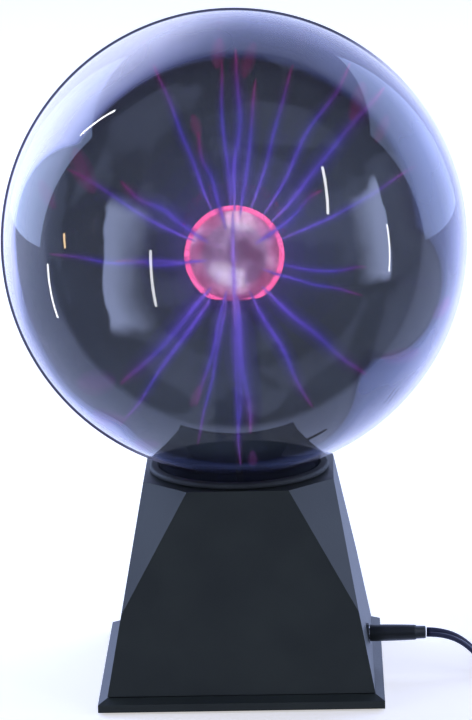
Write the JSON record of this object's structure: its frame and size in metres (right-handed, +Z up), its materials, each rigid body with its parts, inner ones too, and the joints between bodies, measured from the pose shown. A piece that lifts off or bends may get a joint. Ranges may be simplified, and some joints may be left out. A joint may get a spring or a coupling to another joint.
{
  "type": "plasma ball",
  "caption": "Gas-filled glass globe with a central bulb electrode on a faceted black tower base, with a plugged-in power lead and adapter.",
  "frame": {"origin": "on the surface that the feet stand on, under the globe's axis", "axes": "+Z up through the globe's axis; the front faces -Y; the power lead leaves along +X"},
  "size_m": [0.286, 0.21, 0.292],
  "materials": {
    "black_abs": "fine spark-eroded texture on black ABS",
    "black_pvc": "satin black PVC",
    "rubber": "matt black rubber",
    "foam": "matt grey closed-cell foam",
    "globe_glass": "clear blown glass with a faint violet-grey cast",
    "electrode_glass": "clear blown glass, lit pink from the discharge at its surface",
    "metal_film": "thin sprayed metal film",
    "brass": "drawn brass",
    "steel": "zinc-plated steel",
    "silicone": "satin red silicone insulation",
    "fibreglass": "green fibreglass laminate",
    "ferrite": "dull sintered ferrite",
    "resin": "potted black resin",
    "copper_wire": "enamelled copper wire",
    "epoxy": "moulded black epoxy",
    "heat_sink_aluminium": "extruded aluminium",
    "can_sleeve": "dark blue shrink sleeve",
    "nickel": "bright nickel plating",
    "nylon": "natural nylon"
  },
  "bodies": {
    "base": {"base_plinth": "black_abs", "base_screw_1": "steel", "base_screw_2": "steel", "base_screw_3": "steel", "base_screw_4": "steel", "board_screw_1": "steel", "board_screw_2": "steel", "board_screw_3": "steel", "board_screw_4": "steel", "capacitor_1": "can_sleeve", "capacitor_2": "can_sleeve", "circuit_board": "fibreglass", "collar_ring": "rubber", "contact_rod": "brass", "contact_spring": "steel", "cradle_screw_1": "steel", "cradle_screw_2": "steel", "cradle_screw_3": "steel", "cradle_screw_4": "steel", "dc_socket": "black_pvc", "drive_transistor": "epoxy", "electrode_glass": "electrode_glass", "electrode_lining": "metal_film", "ferrite_core_lower": "ferrite", "ferrite_core_upper": "ferrite", "foot_1": "rubber", "foot_2": "rubber", "foot_3": "rubber", "foot_4": "rubber", "glass_globe": "globe_glass", "heat_sink": "heat_sink_aluminium", "high_voltage_lead": "silicone", "high_voltage_winding": "resin", "neck_cradle": "black_abs", "neck_pad": "foam", "primary_winding": "copper_wire", "switch_body": "steel", "switch_screw_1": "steel", "switch_screw_2": "steel", "switch_wire_1": "silicone", "switch_wire_2": "silicone", "tower_housing": "black_abs", "transistor_screw": "steel"},
    "switch": {"switch_slider": "black_abs"},
    "power_lead": {"dc_plug_body": "black_pvc", "dc_plug_barrel": "nickel", "power_cord": "black_pvc", "cord_coil": "black_pvc", "power_cord_tail": "black_pvc", "cable_tie": "nylon", "adapter_case": "black_abs", "adapter_plate": "black_abs", "adapter_pin_1": "nickel", "adapter_pin_2": "nickel", "adapter_strain_relief": "black_pvc"}
  },
  "joints": [
    {"name": "switch_slide", "type": "slide", "parent": "base", "child": "switch", "axis": [1, 0, 0], "range_m": [0, 0.004]},
    {"name": "plug_pull", "type": "slide", "parent": "base", "child": "power_lead", "axis": [1, 0, 0], "range_m": [0, 0.012]}
  ]
}
